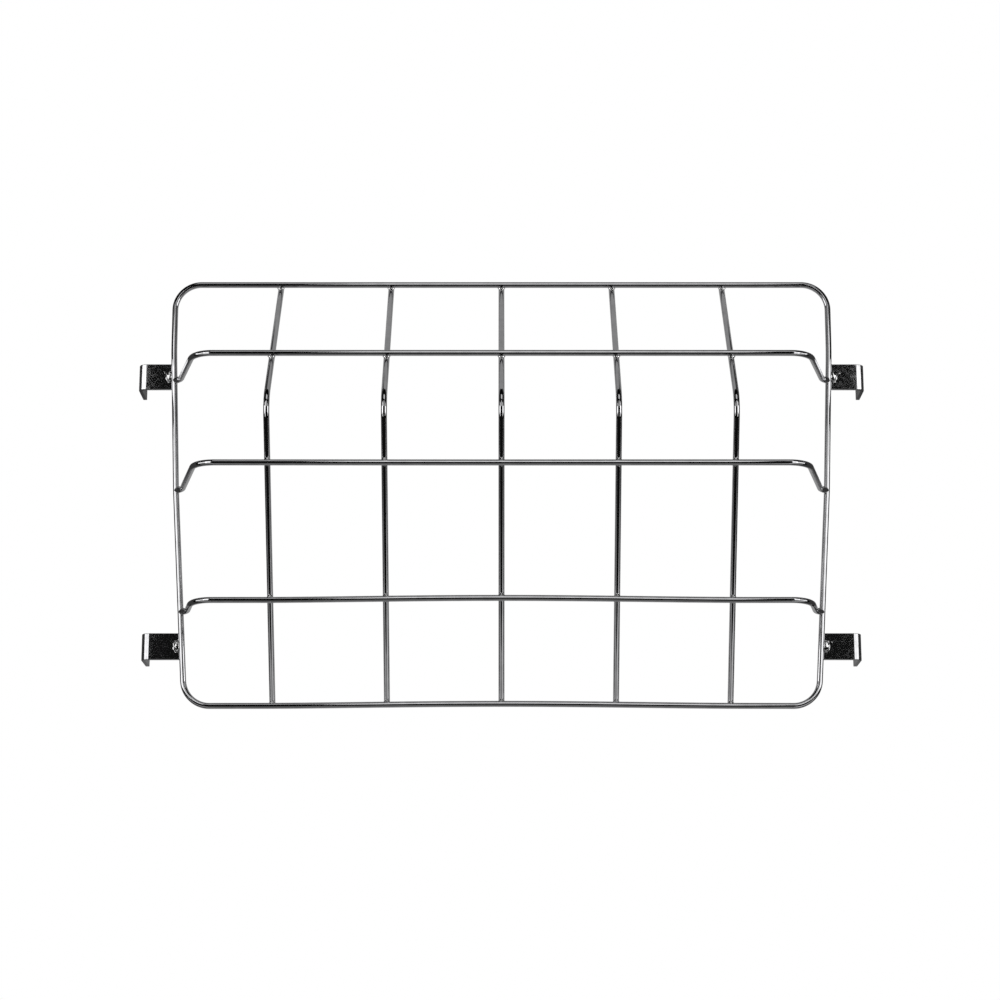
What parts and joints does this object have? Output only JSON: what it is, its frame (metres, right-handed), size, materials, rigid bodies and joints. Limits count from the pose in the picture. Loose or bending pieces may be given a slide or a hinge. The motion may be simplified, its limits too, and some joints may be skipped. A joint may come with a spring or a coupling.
{
  "type": "headlamp guard",
  "caption": "Chromed wire guard for a truck headlamp: a rounded rim, raised upright and cross wires, and flat-bar L clips that reach back to the lamp.",
  "frame": {"origin": "middle of the guard on the plane of its four leg tips", "axes": "+X along the guard's length, +Y to its steeper edge, which is its top on the truck, +Z out of its front, away from the lamp"},
  "size_m": [0.5554, 0.332, 0.1309],
  "materials": {
    "wire_chrome": "bright chrome plate on round wire",
    "clip_chrome": "bright chrome plate with a fine orange peel, on rolled flat bar",
    "weld_chrome": "chrome plate over a rough weld bead"
  },
  "bodies": {
    "root": {"rim": "wire_chrome", "upright_1": "wire_chrome", "upright_2": "wire_chrome", "upright_3": "wire_chrome", "upright_4": "wire_chrome", "upright_5": "wire_chrome", "cross_wire_upper": "wire_chrome", "cross_wire_middle": "wire_chrome", "cross_wire_lower": "wire_chrome", "clip_upper_left": "clip_chrome", "clip_upper_right": "clip_chrome", "clip_lower_left": "clip_chrome", "clip_lower_right": "clip_chrome", "crossing_weld_upper_1": "weld_chrome", "crossing_weld_upper_2": "weld_chrome", "crossing_weld_upper_3": "weld_chrome", "crossing_weld_upper_4": "weld_chrome", "crossing_weld_upper_5": "weld_chrome", "crossing_weld_middle_1": "weld_chrome", "crossing_weld_middle_2": "weld_chrome", "crossing_weld_middle_3": "weld_chrome", "crossing_weld_middle_4": "weld_chrome", "crossing_weld_middle_5": "weld_chrome", "crossing_weld_lower_1": "weld_chrome", "crossing_weld_lower_2": "weld_chrome", "crossing_weld_lower_3": "weld_chrome", "crossing_weld_lower_4": "weld_chrome", "crossing_weld_lower_5": "weld_chrome", "rim_weld_top_1": "weld_chrome", "rim_weld_top_2": "weld_chrome", "rim_weld_top_3": "weld_chrome", "rim_weld_top_4": "weld_chrome", "rim_weld_top_5": "weld_chrome", "rim_weld_bottom_1": "weld_chrome", "rim_weld_bottom_2": "weld_chrome", "rim_weld_bottom_3": "weld_chrome", "rim_weld_bottom_4": "weld_chrome", "rim_weld_bottom_5": "weld_chrome", "foot_weld_upper_left": "weld_chrome", "foot_weld_upper_right": "weld_chrome", "foot_weld_middle_left": "weld_chrome", "foot_weld_middle_right": "weld_chrome", "foot_weld_lower_left": "weld_chrome", "foot_weld_lower_right": "weld_chrome", "clip_weld_upper_left": "weld_chrome", "clip_weld_upper_right": "weld_chrome", "clip_weld_lower_left": "weld_chrome", "clip_weld_lower_right": "weld_chrome"}
  },
  "joints": []
}
